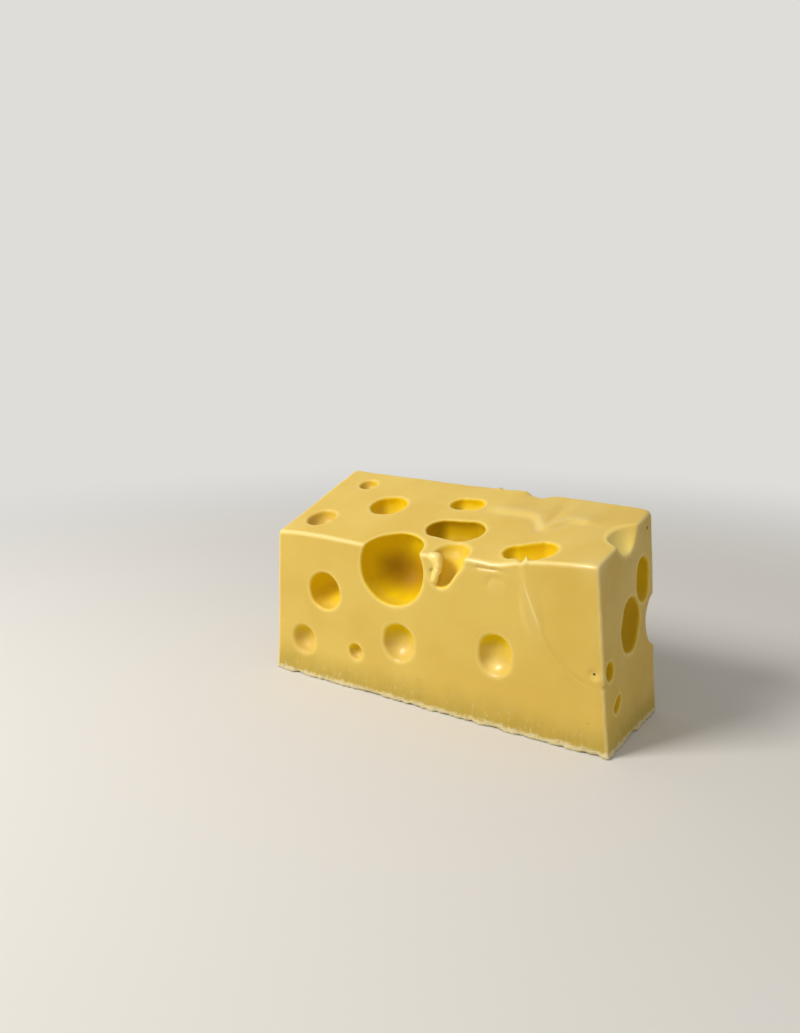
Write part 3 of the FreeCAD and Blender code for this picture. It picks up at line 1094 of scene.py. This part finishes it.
# %% The cheese material
def cheese_surface():
    """The paste as values and wires for the Principled shader."""
    patterns = cheese_patterns()
    relief = {"Strength": 1.0, "Distance": MM, "Height": cheese_relief(patterns)}
    return {
        "Base Color": cheese_colour(patterns),
        "Roughness": cheese_roughness(patterns),
        "Normal": Wire.node("ShaderNodeBump", inputs=relief),
        "Subsurface Weight": 0.35,
        "Subsurface Radius": (1.0, 0.72, 0.2),
        "Subsurface Scale": 0.004,
        "IOR": 1.42,
        "Coat Weight": patterns.smear * 0.8,
        "Coat Roughness": 0.2,
    }


def eye_surface():
    """The same paste, with little of its own gloss."""
    return {**cheese_surface(), "Specular IOR Level": 0.08, "Coat Weight": 0.0}


cheese_piece.data.materials.append(new_material("emmental_paste", cheese_surface))
cheese_piece.data.materials.append(new_material("emmental_eye", eye_surface))
is_eye = golden[quads].mean(1) > 0.5
cheese_piece.data.polygons.foreach_set("material_index", is_eye.astype(np.int32))
print("cheese material:", len(Wire.tree.nodes), "nodes,", int(is_eye.sum()), "eye faces")

# %% [markdown]
# The block stays where the CAD block is, so it rides on the same body and stands for
# the CAD node, which is then hidden.

# %% Put the cheese in the frame
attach(cheese_piece, "root")
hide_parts("cheese_block")
print(cheese_piece.name, "rides on root in place of cheese_block")

# %% [markdown]
# A plain pale floor and soft light from the upper left and front show the shape: the
# top and the front are bright, and the right end lies in shade. Far away the floor and
# the room turn into one pale tone, which only the camera and mirrored rays see, so it
# puts no light on the cheese.

# %% The floor
FLOOR_SIZE = 30.0                         # metres
FLOOR_TONE = paint(214, 212, 208)
ROOM_TONE = paint(222, 221, 218)
ROOM_START, ROOM_FULL = 0.28, 1.0         # metres from the cheese
BLACK = (0, 0, 0, 1)


def seen_directly():
    """1 for rays that come straight from the camera or from a glossy surface."""
    path = Wire.node("ShaderNodeLightPath")
    mirrored = Wire(path.socket.node.outputs["Is Glossy Ray"])
    return Wire.math("MAXIMUM", path, mirrored)


def floor_surface():
    """The pale floor near the cheese, turning into the tone of the room far away."""
    place = Wire.node("ShaderNodeNewGeometry")
    away = Wire.node("ShaderNodeVectorMath", {"operation": "LENGTH"}, {0: place}, output=1)
    fade = away.clear_step(ROOM_START, ROOM_FULL)
    glow = (fade * seen_directly()).tint(BLACK, ROOM_TONE)
    return {
        "Base Color": fade.tint(FLOOR_TONE, BLACK),
        "Roughness": 0.9,
        "Specular IOR Level": 0.0,
        "Emission Color": glow,
        "Emission Strength": 1.0,
    }


square = np.array([(-1, -1, 0), (1, -1, 0), (1, 1, 0), (-1, 1, 0)], float)
floor = mesh_piece("floor", square * FLOOR_SIZE / 2 / MM, np.array([(0, 1, 2, 3)]))
floor.data.materials.append(new_material("pale_floor", floor_surface))
print("floor", FLOOR_SIZE, "m across")

# %% [markdown]
# The world behind the floor does two jobs. Its light is a little warm and comes evenly
# from all sides, while the camera sees the plain tone of the room in its place.

# %% The room
ROOM_LIGHT, ROOM_STRENGTH = (1.0, 0.97, 0.92, 1), 0.42
world = bpy.data.worlds.new("soft_room")
world.use_nodes = True
Wire.tree = world.node_tree
light = Wire.tree.nodes["Background"]
light.inputs["Color"].default_value = ROOM_LIGHT
light.inputs["Strength"].default_value = ROOM_STRENGTH
backdrop = Wire.node("ShaderNodeBackground", inputs={"Color": ROOM_TONE, "Strength": 1.0})
shown = Wire.node("ShaderNodeMixShader", inputs={
    0: seen_directly(), 1: Wire(light.outputs[0]), 2: backdrop})
Wire.tree.links.new(shown.socket, Wire.tree.nodes["World Output"].inputs["Surface"])
bpy.context.scene.world = world
print("room light", ROOM_STRENGTH, "of full")

# %% [markdown]
# A large square lamp to the upper left is the key light, as a window would be. A weak
# warm one from the right keeps the shaded end from going grey.

# %% Lamps
def soft_lamp(name, place, target, size, watts, colour):
    """A square lamp that looks at a target."""
    lamp = bpy.data.lights.new(name, "AREA")
    lamp.size = size
    lamp.energy = watts
    lamp.color = colour
    holder = bpy.data.objects.new(name, lamp)
    holder.location = place
    holder.rotation_euler = (Vector(target) - Vector(place)).to_track_quat("-Z", "Y").to_euler()
    bpy.context.scene.collection.objects.link(holder)
    return holder


middle = (0, 0, HEIGHT / 2 * MM)
soft_lamp("key", (-0.72, -1.0, 1.1), middle, size=0.6, watts=24, colour=(1.0, 0.97, 0.93))
soft_lamp("fill", (1.1, -0.8, 0.9), middle, size=1.2, watts=1.2, colour=(1.0, 0.92, 0.82))
print("lamps:", [lamp.name for lamp in bpy.data.lights])

# %% [markdown]
# The camera looks at the corner between the front and the right end from a little above
# the block, so the front runs away to the left and the right end is seen at a slant.

# %% Camera
CAMERA_PLACE = (172.9, -466.7, 250.0)     # millimetres from the foot of that corner
CAMERA_LOOK = (-0.564, 0.826)             # its direction over the table
CAMERA_TILT = math.radians(12.33)         # down from level
CAMERA_LENS = 31.64
camera_data = bpy.data.cameras.new("camera")
camera_data.lens = CAMERA_LENS
camera = bpy.data.objects.new("camera", camera_data)
right_foot = Vector((LENGTH / 2, FRONT_Y, 0))
camera.location = (right_foot + Vector(CAMERA_PLACE)) * MM
flat = math.cos(CAMERA_TILT)
look = Vector((CAMERA_LOOK[0] * flat, CAMERA_LOOK[1] * flat, -math.sin(CAMERA_TILT)))
camera.rotation_euler = look.to_track_quat("-Z", "Y").to_euler()
bpy.context.scene.collection.objects.link(camera)
bpy.context.scene.camera = camera
bpy.context.scene.view_settings.view_transform = "Standard"
print("camera", round(camera.location.length, 2), "m from the middle of the foot")
